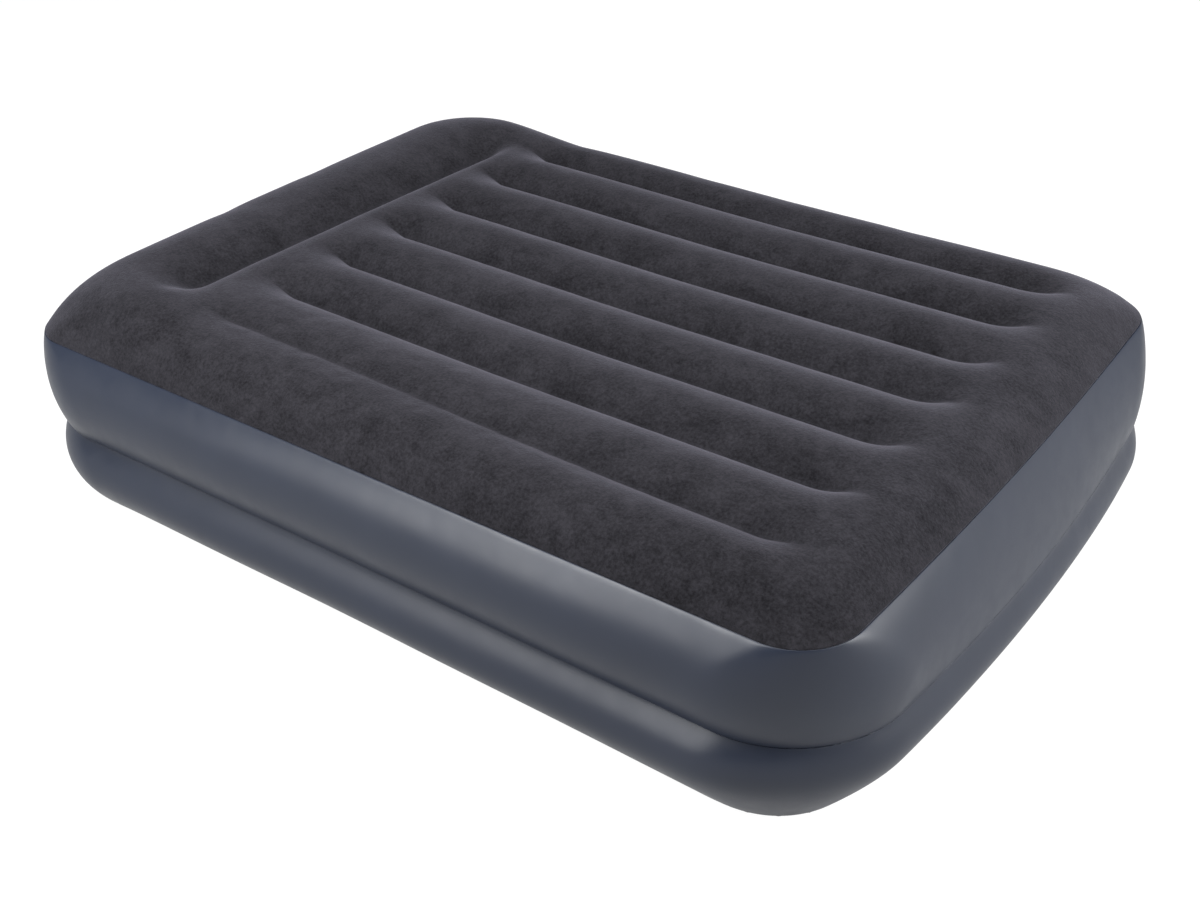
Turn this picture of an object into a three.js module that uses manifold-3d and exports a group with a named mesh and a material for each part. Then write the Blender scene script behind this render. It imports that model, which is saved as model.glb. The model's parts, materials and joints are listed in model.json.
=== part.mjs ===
// Double-height flocked air mattress with a built-in pillow and a mains pump in its head wall.
// Millimetres. +X runs from the head end to the foot end, +Y across the bed, +Z up, and the
// origin is the middle of the base. The envelope is five welded vinyl sheets held in shape by
// internal I-beams: seven long ones under the top, one across under the pillow's edge, and five
// in the lower tier. The pump is a screwed assembly of its own in a collar welded to the wall.
import * as THREE from "three";
import { mergeVertices } from "three/addons/utils/BufferGeometryUtils.js";
import Module from "manifold-3d";

const wasm = await Module();
wasm.setup();

// ---------------------------------------------------------------- driving dimensions
const VINYL = 0.4; // thickness of every vinyl sheet
const GAP = 0.3; // between pieces that touch
const CENTRE_SHIFT = -21; // the foot end bows out further than the head end

// Plan outlines of the envelope, from the top seam down. Each is a rounded rectangle whose ends
// and sides bow, and whose height may rise towards the corners.
const SEAM = { a: 960, b: 705, r: 112, headBow: 20, footBow: 20, sideBow: 0, z: 384, lift: 0 };
const UPPER_BULGE = { a: 1010, b: 754, r: 255, headBow: 5, footBow: 5, sideBow: 0, z: 283, lift: 0 };
const WAIST = { a: 988, b: 722, r: 210, headBow: 14, footBow: 45, sideBow: -4, z: 181, lift: 0 };
const LOWER_BULGE = { a: 1000, b: 760, r: 255, headBow: 12, footBow: 52, sideBow: -7, z: 104, lift: 29 };
const BASE = { a: 947, b: 697, r: 170, headBow: 0, footBow: 0, sideBow: -20, z: VINYL + GAP, lift: 0 };
const BULGE_POWER = 0.75; // below 1 makes a tier's wall fuller than a sine arch

// The top: crests, valleys and the lines where beams hold it down.
const LANE_CREST_Z = 457;
const PILLOW_CREST_Z = 492;
const CROWN_WIDTH = 150; // how far in from the seam the top reaches its full height
const CORNER_GROWTH = 0.5; // growth of the contours' corner radius per unit of depth inside the seam
const LANE_PITCH = 176;
const LANE_LINES = [-3, -2, -1, 0, 1, 2, 3];
const LANE_DEPTH = 38;
const LANE_START_X = -595;
const LANE_END_X = 850;
const LANE_TAPER = 110;
const PILLOW_LINE_X = -665;
const PILLOW_LINE_HALF = 560;
const PILLOW_LINE_TAPER = 120;
const PILLOW_DEPTH = 34;
const PILLOW_SIDE_REACH = 150; // how far the pillow's own slope reaches from its line
const LANE_SIDE_REACH = 60;

const BEAM_FLANGE = 24;
const LOWER_BEAM_LINES = [-2, -1, 0, 1, 2];
const LOWER_BEAM_PITCH = 264;
const LOWER_BEAM_LENGTH = 1400;
const VENT = { x: 350, y: 440, r: 30 }; // air passages through the waist sheet, one per quarter

// The pump. Its own frame has x across the bed, y up and z the depth into the bed.
const PUMP_FRONT_X = -1016;
const PUMP_Y = 350;
const PUMP_Z = 275;
const DIAL = { x: 38, y: 8 }; // axis of the dial, the diverter, the fan and the motor
const BAY = { x: -41, y: 0, w: 66, h: 84 }; // cord bay
const SWITCH = { x: 38, y: -42 };
const FACE_Z = 15.5; // front of the faceplate
const FACE_BACK_Z = 18.7;
const SCREW_X = 79;
const SCREW_Y = 49;
const SEGMENTS = 24; // on round pieces

// ---------------------------------------------------------------- materials
const material = (color, roughness, metalness = 0) =>
  new THREE.MeshStandardMaterial({ color, roughness, metalness });
const flock = material(0x343239, 0.95);
const wallVinyl = material(0x454c58, 0.42);
const innerVinyl = material(0x7b828c, 0.5);
const darkPlastic = material(0x24262a, 0.45);
const greyPlastic = material(0x6d727a, 0.4);
const softRubber = material(0x17181a, 0.8);
const steel = material(0xb4b7bb, 0.3, 1);
const bronze = material(0x9c7443, 0.35, 1);
const copper = material(0x6b3f28, 0.45, 0.6);
const magnetGrey = material(0x3c3d40, 0.6, 0.2);

// ---------------------------------------------------------------- solids and meshes
// A closed geometry as a manifold-3d solid, and back.
function solid(geometry) {
  const bare = geometry.index ? geometry.toNonIndexed() : geometry.clone();
  bare.deleteAttribute("normal");
  bare.deleteAttribute("uv");
  const merged = mergeVertices(bare, 1e-3);
  return new wasm.Manifold(
    new wasm.Mesh({
      numProp: 3,
      vertProperties: merged.attributes.position.array,
      triVerts: new Uint32Array(merged.index.array),
    }),
  );
}

function geometryOf(made) {
  const mesh = made.getMesh();
  const positions = new Float32Array(mesh.numVert * 3);
  for (let i = 0; i < mesh.numVert; i++)
    for (let k = 0; k < 3; k++) positions[3 * i + k] = mesh.vertProperties[mesh.numProp * i + k];
  const geometry = new THREE.BufferGeometry();
  geometry.setAttribute("position", new THREE.BufferAttribute(positions, 3));
  geometry.setIndex(new THREE.BufferAttribute(mesh.triVerts, 1));
  geometry.computeVertexNormals();
  return geometry;
}

const join = (...parts) => parts.reduce((sum, part) => sum.add(part));
const cut = (body, ...tools) => tools.reduce((left, tool) => left.subtract(tool), body);

function add(group, name, shape, look) {
  const geometry = shape.isBufferGeometry ? shape : geometryOf(shape);
  const mesh = new THREE.Mesh(geometry, look);
  mesh.name = name;
  group.add(mesh);
  return mesh;
}

// ---------------------------------------------------------------- plan outlines
const CORNER_STEPS = 5;
const LONG_STEPS = 5;
const SHORT_STEPS = 7;
const CORNERS = [
  { sx: 1, sy: 1, start: 0, steps: LONG_STEPS },
  { sx: -1, sy: 1, start: 90, steps: SHORT_STEPS },
  { sx: -1, sy: -1, start: 180, steps: LONG_STEPS },
  { sx: 1, sy: -1, start: 270, steps: SHORT_STEPS },
];

// Moves a point of a plain rounded rectangle to where the bowed ends and sides put it.
function bowed(level, x, y) {
  const u = THREE.MathUtils.clamp(x / level.a, -1, 1);
  const v = THREE.MathUtils.clamp(y / level.b, -1, 1);
  const endBow = x > 0 ? level.footBow : level.headBow;
  return {
    x: x + endBow * Math.sign(x) * Math.cos((Math.PI / 2) * v) * u * u,
    y: y + level.sideBow * Math.sign(y) * Math.cos((Math.PI / 2) * u) * v * v,
    corner: Math.abs(u * v) ** 3,
  };
}

// The outline's points in order, each with its height and its outward normal in plan.
function outline(level) {
  const points = [];
  const put = (x, y, angle) => {
    const b = bowed(level, x, y);
    points.push({
      x: b.x,
      y: b.y,
      z: level.z + level.lift * b.corner,
      nx: Math.cos(angle),
      ny: Math.sin(angle),
    });
  };
  const onCorner = (corner, degrees) => {
    const angle = THREE.MathUtils.degToRad(degrees);
    return {
      x: corner.sx * (level.a - level.r) + level.r * Math.cos(angle),
      y: corner.sy * (level.b - level.r) + level.r * Math.sin(angle),
      angle,
    };
  };
  CORNERS.forEach((corner, k) => {
    for (let i = 0; i <= CORNER_STEPS; i++) {
      const p = onCorner(corner, corner.start + (90 * i) / CORNER_STEPS);
      put(p.x, p.y, p.angle);
    }
    const from = onCorner(corner, corner.start + 90);
    const next = CORNERS[(k + 1) % 4];
    const to = onCorner(next, next.start);
    for (let i = 1; i < corner.steps; i++) {
      const t = i / corner.steps;
      put(from.x + (to.x - from.x) * t, from.y + (to.y - from.y) * t, from.angle);
    }
  });
  return points;
}

// ---------------------------------------------------------------- vinyl sheets
// A thin closed body between two grids of points. With wrap, the rows are closed rings.
function sheetBody(front, back, wrap) {
  const rows = front.length;
  const columns = front[0].length;
  const positions = [];
  for (const side of [front, back])
    for (const row of side) for (const p of row) positions.push(p.x, p.y, p.z);
  const at = (side, i, j) => side * rows * columns + i * columns + (j % columns);
  const index = [];
  const quad = (a, b, c, d) => index.push(a, b, c, a, c, d);
  const spans = wrap ? columns : columns - 1;
  for (let i = 0; i < rows - 1; i++)
    for (let j = 0; j < spans; j++) {
      quad(at(0, i, j), at(0, i + 1, j), at(0, i + 1, j + 1), at(0, i, j + 1));
      quad(at(1, i, j), at(1, i, j + 1), at(1, i + 1, j + 1), at(1, i + 1, j));
    }
  for (let j = 0; j < spans; j++) {
    const last = rows - 1;
    quad(at(0, 0, j), at(0, 0, j + 1), at(1, 0, j + 1), at(1, 0, j));
    quad(at(0, last, j + 1), at(0, last, j), at(1, last, j), at(1, last, j + 1));
  }
  if (!wrap)
    for (let i = 0; i < rows - 1; i++) {
      const last = columns - 1;
      quad(at(0, i + 1, 0), at(0, i, 0), at(1, i, 0), at(1, i + 1, 0));
      quad(at(0, i, last), at(0, i + 1, last), at(1, i + 1, last), at(1, i, last));
    }
  const geometry = new THREE.BufferGeometry();
  geometry.setAttribute("position", new THREE.Float32BufferAttribute(positions, 3));
  geometry.setIndex(index);
  const made = solid(geometry);
  if (made.volume() > 0) return made;
  index.reverse();
  geometry.setIndex(index);
  return solid(geometry);
}

const WALL_ROWS = 6;

// One tier's wall: an arch from its upper seam over the bulge to its lower seam.
function tierWall(top, bulge, bottom) {
  const [upper, middle, lower] = [outline(top), outline(bulge), outline(bottom)];
  const outer = [];
  const inner = [];
  for (let i = 0; i <= WALL_ROWS; i++) {
    const t = i / WALL_ROWS;
    const arch = Math.sin(Math.PI * t) ** BULGE_POWER;
    const row = upper.map((p, k) => {
      const m = middle[k];
      const q = lower[k];
      return {
        x: p.x + (q.x - p.x) * t + (m.x - (p.x + q.x) / 2) * arch,
        y: p.y + (q.y - p.y) * t + (m.y - (p.y + q.y) / 2) * arch,
        z: p.z * (1 - t) * (1 - 2 * t) + 4 * m.z * t * (1 - t) + q.z * t * (2 * t - 1),
        nx: p.nx,
        ny: p.ny,
      };
    });
    outer.push(row);
    inner.push(row.map((p) => ({ x: p.x - VINYL * p.nx, y: p.y - VINYL * p.ny, z: p.z })));
  }
  return sheetBody(outer, inner, true);
}

// A flat sheet of an outline's shape, with round holes.
function flatSheet(level, z, holes = []) {
  const shape = new THREE.Shape(outline(level).map((p) => new THREE.Vector2(p.x, p.y)));
  for (const h of holes)
    shape.holes.push(new THREE.Path().absarc(h.x, h.y, h.r, 0, 2 * Math.PI, true));
  const geometry = new THREE.ExtrudeGeometry(shape, {
    depth: VINYL,
    bevelEnabled: false,
    curveSegments: 5,
  });
  return geometry.translate(0, 0, z);
}

// ---------------------------------------------------------------- the top sheet
const smooth = (value, from, to) => THREE.MathUtils.smoothstep(value, from, to);

// How far a point lies inside the top seam, on contours whose corners grow rounder inwards: the
// contour at a depth d is a rounded rectangle d smaller all round, its corner radius larger by
// CORNER_GROWTH * d. In a corner that makes d the root of a quadratic.
function insideSeam(x, y) {
  const dx = Math.abs(x) - (SEAM.a - SEAM.r);
  const dy = Math.abs(y) - (SEAM.b - SEAM.r);
  const square = Math.min(SEAM.a - Math.abs(x), SEAM.b - Math.abs(y));
  const k = 1 + CORNER_GROWTH;
  const p = 2 * k ** 2 - CORNER_GROWTH ** 2;
  const q = 2 * k * (dx + dy) - 2 * CORNER_GROWTH * SEAM.r;
  const r = dx ** 2 + dy ** 2 - SEAM.r ** 2;
  const corner = (-q + Math.sqrt(Math.max(q ** 2 - 4 * p * r, 0))) / (2 * p);
  const inCorner = dx + k * corner > 0 && dy + k * corner > 0;
  return Math.max(inCorner ? Math.min(corner, square) : square, 0);
}

// 1 on a held line, falling to 0 at reach: the cusp between two swollen lanes.
const cusp = (distance, reach) => Math.max(0, 1 - Math.abs(distance) / reach) ** 2;

function topHeight(x, y) {
  const crownShare = 1 - (1 - Math.min(insideSeam(x, y) / CROWN_WIDTH, 1)) ** 2;
  const pillow = 1 - smooth(x, PILLOW_LINE_X - 90, PILLOW_LINE_X);
  const crest = LANE_CREST_Z + (PILLOW_CREST_Z - LANE_CREST_Z) * pillow;
  const alongLane = Math.min(
    smooth(x, LANE_START_X - 15, LANE_START_X + LANE_TAPER),
    1 - smooth(x, LANE_END_X - LANE_TAPER, LANE_END_X + 15),
  );
  let drop = 0;
  for (const line of LANE_LINES)
    drop += LANE_DEPTH * alongLane * cusp(y - line * LANE_PITCH, LANE_PITCH / 2);
  const fromLine = x - PILLOW_LINE_X;
  const reach = fromLine < 0 ? PILLOW_SIDE_REACH : LANE_SIDE_REACH;
  const along =
    1 - smooth(Math.abs(y), PILLOW_LINE_HALF - PILLOW_LINE_TAPER, PILLOW_LINE_HALF);
  drop += PILLOW_DEPTH * along * cusp(fromLine, reach);
  return SEAM.z + (crest - SEAM.z) * crownShare - drop;
}

// Half-length of the seam's plain rounded rectangle at a distance y from its middle line.
function halfLengthAt(y) {
  const past = Math.abs(y) - (SEAM.b - SEAM.r);
  if (past <= 0) return SEAM.a;
  return SEAM.a - SEAM.r + Math.sqrt(Math.max(0, SEAM.r ** 2 - past ** 2));
}

const LANE_FOOT = 26; // from a held line to where its lane's side steepens

function topSheet() {
  const acrossLane = [0, LANE_FOOT, LANE_PITCH / 2, LANE_PITCH - LANE_FOOT];
  const sideRows = LANE_LINES.filter((n) => n >= 0 && n < 3).flatMap((n) =>
    acrossLane.map((d) => n * LANE_PITCH + d),
  );
  const arcRows = Array.from({ length: CORNER_STEPS + 1 }, (_, i) => {
    const angle = ((Math.PI / 2) * i) / CORNER_STEPS;
    return SEAM.b - SEAM.r + SEAM.r * Math.sin(angle);
  });
  const half = [...sideRows, 3 * LANE_PITCH, 3 * LANE_PITCH + LANE_FOOT, ...arcRows];
  const ys = [...half.slice(1).map((y) => -y).reverse(), ...half];
  // Columns of points along the bed: close together where the crown, the pillow and the lanes' ends
  // curve, and far apart along the lanes, where nothing changes.
  const headEnd = [0, 20, 60, 125, 195, 255].map((d) => d - SEAM.a);
  const pillowEdge = [0, 30, 70, 125, 180].map((d) => d + PILLOW_LINE_X);
  const laneEnd = [-730, -110, -55, 0].map((d) => d + LANE_END_X);
  const footEnd = [-60, -20, 0].map((d) => d + SEAM.a);
  const columns = [...headEnd, ...pillowEdge, ...laneEnd, ...footEnd];
  const fixedPart = 800; // columns beyond this squeeze in where the corners round off
  const upper = ys.map((y) =>
    columns.map((column) => {
      const squeeze = (halfLengthAt(y) - fixedPart) / (SEAM.a - fixedPart);
      const size = Math.abs(column);
      const squeezed = size > fixedPart ? fixedPart + (size - fixedPart) * squeeze : size;
      const x = Math.sign(column) * squeezed;
      const plan = bowed(SEAM, x, y);
      return { x: plan.x, y: plan.y, z: topHeight(x, y) + GAP / 2 + VINYL };
    }),
  );
  const lower = upper.map((row) => row.map((p) => ({ x: p.x, y: p.y, z: p.z - VINYL })));
  return sheetBody(upper, lower, false);
}

// ---------------------------------------------------------------- beams
// Turns a shape drawn in X and Y and extruded along Z so that it stands across the bed: its x lies
// along Y, its y along Z and its depth along X.
const upright = () =>
  new THREE.Matrix4().makeBasis(
    new THREE.Vector3(0, 1, 0),
    new THREE.Vector3(0, 0, 1),
    new THREE.Vector3(1, 0, 0),
  );

// An I-beam of welded vinyl: a web with a flange at each edge, along +X from the origin.
function beam(length, bottom, top) {
  const f = BEAM_FLANGE / 2;
  const w = VINYL / 2;
  const section = new THREE.Shape(
    [
      [-f, bottom], [f, bottom], [f, bottom + VINYL], [w, bottom + VINYL],
      [w, top - VINYL], [f, top - VINYL], [f, top], [-f, top],
      [-f, top - VINYL], [-w, top - VINYL], [-w, bottom + VINYL], [-f, bottom + VINYL],
    ].map(([y, z]) => new THREE.Vector2(y, z)),
  );
  const geometry = new THREE.ExtrudeGeometry(section, { depth: length, bevelEnabled: false });
  return geometry.applyMatrix4(upright());
}

const half = VINYL / 2;
const envelope = new THREE.Group();
envelope.position.x = CENTRE_SHIFT;

const seamRim = { ...SEAM, z: SEAM.z - GAP / 2 };
const waistTop = { ...WAIST, z: WAIST.z + half + GAP };
const waistUnder = { ...WAIST, z: WAIST.z - half - GAP };

// ---------------------------------------------------------------- pump shapes
function rounded(x, y, w, h, r) {
  const path = new THREE.Shape();
  const [l, b] = [x - w / 2, y - h / 2];
  path.moveTo(l + r, b);
  path.lineTo(l + w - r, b);
  path.absarc(l + w - r, b + r, r, -Math.PI / 2, 0, false);
  path.lineTo(l + w, b + h - r);
  path.absarc(l + w - r, b + h - r, r, 0, Math.PI / 2, false);
  path.lineTo(l + r, b + h);
  path.absarc(l + r, b + h - r, r, Math.PI / 2, Math.PI, false);
  path.lineTo(l, b + r);
  path.absarc(l + r, b + r, r, Math.PI, 1.5 * Math.PI, false);
  return path;
}

function extruded(shape, z0, z1) {
  const options = { depth: z1 - z0, bevelEnabled: false, curveSegments: 4 };
  return solid(new THREE.ExtrudeGeometry(shape, options).translate(0, 0, z0));
}
const plate = (x, y, w, h, r, z0, z1) => extruded(rounded(x, y, w, h, r), z0, z1);
const block = (x0, x1, y0, y1, z0, z1) =>
  solid(
    new THREE.BoxGeometry(x1 - x0, y1 - y0, z1 - z0).translate(
      (x0 + x1) / 2,
      (y0 + y1) / 2,
      (z0 + z1) / 2,
    ),
  );
const rod = (x, y, r, z0, z1, segments = SEGMENTS) =>
  solid(
    new THREE.CylinderGeometry(r, r, z1 - z0, segments)
      .rotateX(Math.PI / 2)
      .translate(x, y, (z0 + z1) / 2),
  );
const ring = (x, y, outer, inner, z0, z1, segments = SEGMENTS) =>
  cut(rod(x, y, outer, z0, z1, segments), rod(x, y, inner, z0 - 1, z1 + 1, segments));
// A rod along the bed's width, at a height y and a depth z.
const crossRod = (y, z, r, x0, x1, segments = 16) =>
  solid(
    new THREE.CylinderGeometry(r, r, x1 - x0, segments)
      .rotateZ(Math.PI / 2)
      .translate((x0 + x1) / 2, y, z),
  );

// ---------------------------------------------------------------- the pump's collar and housing
const RIM = [204, 144, 30];
const RECESS = [188, 128, 22];
const THROAT = [176, 116, 16];
const LEDGE_Z = 24;

function collar() {
  return cut(
    plate(0, 0, ...RIM, 2, 50),
    plate(0, 0, ...RECESS, 1, LEDGE_Z),
    plate(0, 0, ...THROAT, LEDGE_Z - 1, 51),
  );
}

function gasket() {
  return cut(plate(0, 0, 187, 127, 21.5, 21.7, 23.7), plate(0, 0, 178, 118, 17, 21, 25));
}

function screwPlaces() {
  return [-1, 1].flatMap((sx) => [-1, 1].map((sy) => [sx * SCREW_X, sy * SCREW_Y]));
}

function housing() {
  const shell = cut(
    join(plate(0, 0, 187, 127, 21.5, 19, 21.4), plate(0, 0, 175, 115, 15.5, 21, 135)),
    plate(0, 0, 170.6, 110.6, 13.5, 18, 132.6),
  );
  const bosses = screwPlaces().map(([x, y]) => rod(x, y, 4.5, 19, 40, 12));
  const drills = screwPlaces().map(([x, y]) => rod(x, y, 2, 18, 37, 12));
  const slots = [-24, -12, 0, 12, 24].map((y) =>
    block(DIAL.x - 26, DIAL.x + 26, DIAL.y + y - 2.5, DIAL.y + y + 2.5, 131, 137),
  );
  return cut(join(shell, ...bosses), ...drills, ...slots);
}

function faceplate() {
  const spider = [0, 120, 240].map((degrees) =>
    solid(
      new THREE.BoxGeometry(31, 4, FACE_BACK_Z - FACE_Z)
        .translate(15.5, 0, 0)
        .rotateZ(THREE.MathUtils.degToRad(degrees))
        .translate(DIAL.x, DIAL.y, (FACE_Z + FACE_BACK_Z) / 2),
    ),
  );
  const lugs = [1, -1].flatMap((side) => {
    const inner = BAY.x + side * 26; // the lug's face towards the door's barrel
    const spanTo = (reach) => [inner, BAY.x + side * reach].sort((p, q) => p - q);
    return [
      block(...spanTo(34), 35.6, 41, FACE_Z, FACE_BACK_Z),
      block(...spanTo(31.5), 35.6, 40.4, FACE_Z, 20),
    ];
  });
  const plain = cut(
    plate(0, 0, 187, 127, 21.5, FACE_Z, FACE_BACK_Z),
    rod(DIAL.x, DIAL.y, 29, 15, 19.5),
    plate(BAY.x, BAY.y, BAY.w, BAY.h, 3, 15, 19.5),
    plate(SWITCH.x, SWITCH.y, 31, 15, 1.5, 15, 19.5),
  );
  return cut(
    join(plain, ...spider, rod(DIAL.x, DIAL.y, 7.5, FACE_Z, FACE_BACK_Z), ...lugs),
    rod(DIAL.x, DIAL.y, 4.3, 15, 19.5),
    crossRod(HINGE.y, HINGE.z, 1.3, BAY.x - 33.3, BAY.x + 33.3),
    ...screwPlaces().map(([x, y]) => rod(x, y, 2.2, 15, 19.5, 16)),
  );
}

// A cross-head screw: a low head over a shank.
function screw(x, y, headRadius, shankRadius, headZ, underHeadZ, tipZ) {
  const slot = headRadius * 0.6;
  return cut(
    join(
      rod(x, y, headRadius, headZ, underHeadZ, 16),
      rod(x, y, shankRadius, underHeadZ - 0.5, tipZ, 12),
    ),
    block(x - slot, x + slot, y - 0.4, y + 0.4, headZ - 1, headZ + 0.9),
    block(x - 0.4, x + 0.4, y - slot, y + slot, headZ - 1, headZ + 0.9),
  );
}

// ---------------------------------------------------------------- cord bay
const HINGE = { y: 38.6, z: 17 };

function cordTray() {
  return cut(
    plate(BAY.x, BAY.y, BAY.w + 4, BAY.h + 4, 5, 19, 95),
    plate(BAY.x, BAY.y, BAY.w + 0.4, BAY.h + 0.4, 3.2, 18, 93.2),
    rod(BAY.x, -30, 6, 92, 96, 20),
  );
}

function cordGland() {
  return cut(
    join(rod(BAY.x, -30, 5.7, 91, 102, 20), rod(BAY.x, -30, 8.5, 90.9, 92.9, 20)),
    rod(BAY.x, -30, 3.6, 90, 103, 20),
  );
}

function cordDoor() {
  return cut(
    join(
      plate(BAY.x, -3.75, 65, 75.5, 2.5, FACE_Z, 17.9),
      block(BAY.x - 25, BAY.x + 25, 32, HINGE.y, FACE_Z, 17.9),
      crossRod(HINGE.y, HINGE.z, 2.2, BAY.x - 25, BAY.x + 25),
      block(BAY.x - 14, BAY.x + 14, -39.5, -36.5, 12.5, 16), // finger lip
    ),
    crossRod(HINGE.y, HINGE.z, 1.3, BAY.x - 26, BAY.x + 26),
  );
}

// ---------------------------------------------------------------- power switch
const ROCKER_Z = 18.5; // depth of the rocker's pin
const ROCKER_TILT = 8; // degrees either side of level

function switchBody() {
  const pinHole = solid(
    new THREE.CylinderGeometry(1.3, 1.3, 16, 12).translate(SWITCH.x, SWITCH.y, ROCKER_Z),
  );
  return cut(
    join(
      plate(SWITCH.x, SWITCH.y, 34, 18, 2, 13.9, 15.2),
      plate(SWITCH.x, SWITCH.y, 30.4, 14.4, 1, 14.5, 38),
    ),
    block(SWITCH.x - 13.7, SWITCH.x + 13.7, SWITCH.y - 5.6, SWITCH.y + 5.6, 13, 27.5),
    pinHole,
  );
}

function powerRocker() {
  const profile = new THREE.Shape(
    [
      [-12.2, -5.3], [0, -3.5], [12.2, -5.3], [12.2, -1], [7, 4], [-7, 4], [-12.2, -1],
    ].map(([x, z]) => new THREE.Vector2(x, z)),
  );
  const bar = solid(
    new THREE.ExtrudeGeometry(profile, { depth: 10.4, bevelEnabled: false })
      .translate(0, 0, -5.2)
      .rotateX(Math.PI / 2),
  );
  const hole = solid(new THREE.CylinderGeometry(1.3, 1.3, 12, 12));
  return geometryOf(cut(bar, hole))
    .rotateY(THREE.MathUtils.degToRad(-ROCKER_TILT))
    .translate(SWITCH.x, SWITCH.y, ROCKER_Z);
}

function rockerPin() {
  return new THREE.CylinderGeometry(1, 1, 13.6, 12).translate(SWITCH.x, SWITCH.y, ROCKER_Z);
}

// ---------------------------------------------------------------- dial and diverter
function controlDial() {
  const holes = [40, 65, 90, 115, 140].flatMap((degrees) =>
    [0, 180].map((turn) => {
      const angle = THREE.MathUtils.degToRad(degrees + turn);
      return rod(DIAL.x + 25 * Math.cos(angle), DIAL.y + 25 * Math.sin(angle), 3.2, 9, 16, 10);
    }),
  );
  return cut(
    join(
      rod(DIAL.x, DIAL.y, 34, 10.5, 14.5, 36),
      plate(DIAL.x, DIAL.y, 62, 13, 6, 2.5, 11),
      rod(DIAL.x, DIAL.y, 11, 4.5, 11),
    ),
    rod(DIAL.x, DIAL.y, 4.3, 9, 15),
    ...holes,
  );
}

function dialShaft() {
  return rod(DIAL.x, DIAL.y, 4, 9.3, 46.5);
}

// A half disc's worth of window, so that turning the drum opens one air path or the other.
const halfWindow = (z0, z1, side) =>
  cut(
    ring(DIAL.x, DIAL.y, 23, 10, z0, z1),
    block(DIAL.x - 30, DIAL.x + 30, DIAL.y - side * 30, DIAL.y + side * 4, z0 - 1, z1 + 1),
  );

function diverterDrum() {
  const shell = cut(rod(DIAL.x, DIAL.y, 27.4, 20.5, 44), rod(DIAL.x, DIAL.y, 25.4, 19, 42));
  const hub = rod(DIAL.x, DIAL.y, 7, 28, 43);
  return cut(join(shell, hub), rod(DIAL.x, DIAL.y, 4.3, 19, 45), halfWindow(41, 45, 1));
}

function diverterSleeve() {
  const body = join(rod(DIAL.x, DIAL.y, 33, 19, 20.6), rod(DIAL.x, DIAL.y, 31, 20, 47));
  return cut(
    body,
    rod(DIAL.x, DIAL.y, 28, 18, 44.6),
    rod(DIAL.x, DIAL.y, 4.3, 44, 48),
    cut(
      ring(DIAL.x, DIAL.y, 23, 10, 44, 48),
      block(DIAL.x - 30, DIAL.x + 30, DIAL.y - 4, DIAL.y + 30, 43, 49),
    ),
  );
}

// ---------------------------------------------------------------- fan and motor
// The scroll around the fan: its radius grows through a turn and ends in a straight outlet.
function scroll(extra, outletTop) {
  const [small, large, steps] = [31 + extra, 36 + extra, 24];
  const shape = new THREE.Shape();
  shape.moveTo(DIAL.x + large, DIAL.y + outletTop);
  shape.lineTo(DIAL.x + 22 - extra, DIAL.y + outletTop);
  for (let i = 5; i <= steps; i++) {
    const angle = (2 * Math.PI * i) / steps;
    const r = small + ((large - small) * i) / steps;
    shape.lineTo(DIAL.x + r * Math.cos(angle), DIAL.y + r * Math.sin(angle));
  }
  shape.closePath();
  return shape;
}

function voluteFront() {
  return cut(
    extruded(scroll(2, 40), 47.5, 66),
    extruded(scroll(0, 41), 49.5, 67),
    rod(DIAL.x, DIAL.y, 15, 47, 50),
  );
}

const MOTOR_SCREWS = [-1, 1].map((side) => [DIAL.x + side * 12, DIAL.y]);

function voluteRear() {
  return cut(
    extruded(scroll(2, 40), 66.3, 68.8),
    rod(DIAL.x, DIAL.y, 5.3, 66, 69),
    ...MOTOR_SCREWS.map(([x, y]) => rod(x, y, 1.6, 66, 69, 12)),
  );
}

function impeller() {
  const blades = Array.from({ length: 9 }, (_, i) =>
    solid(
      new THREE.BoxGeometry(17, 1.2, 10.5)
        .rotateZ(THREE.MathUtils.degToRad(35))
        .translate(18.5, 0, 57)
        .rotateZ((2 * Math.PI * i) / 9)
        .translate(DIAL.x, DIAL.y, 0),
    ),
  );
  return cut(
    join(rod(DIAL.x, DIAL.y, 27.5, 61.8, 64), rod(DIAL.x, DIAL.y, 6, 53, 64), ...blades),
    rod(DIAL.x, DIAL.y, 1.9, 52, 65, 20),
  );
}

function rotor() {
  return join(
    rod(DIAL.x, DIAL.y, 1.6, 52.5, 122, 20),
    rod(DIAL.x, DIAL.y, 12, 80, 104),
    rod(DIAL.x, DIAL.y, 6, 103, 112, 20),
  );
}

function motorCan() {
  return cut(
    rod(DIAL.x, DIAL.y, 19, 69.1, 116),
    rod(DIAL.x, DIAL.y, 18, 70.7, 117),
    rod(DIAL.x, DIAL.y, 5.3, 69, 71, 20),
    ...MOTOR_SCREWS.map(([x, y]) => rod(x, y, 1.6, 69, 71, 12)),
  );
}

const bush = (z0, z1) => ring(DIAL.x, DIAL.y, 5, 1.9, z0, z1, 20);

function magnet(side) {
  const gapPlane = DIAL.x + side * 5;
  const [x0, x1] = side > 0 ? [DIAL.x - 25, gapPlane] : [gapPlane, DIAL.x + 25];
  return cut(
    ring(DIAL.x, DIAL.y, 17.7, 13, 78, 106),
    block(x0, x1, DIAL.y - 25, DIAL.y + 25, 77, 107),
  );
}

function motorEndCap() {
  return cut(
    rod(DIAL.x, DIAL.y, 19, 116.3, 119),
    rod(DIAL.x, DIAL.y, 5.3, 116, 120, 20),
  );
}

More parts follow.
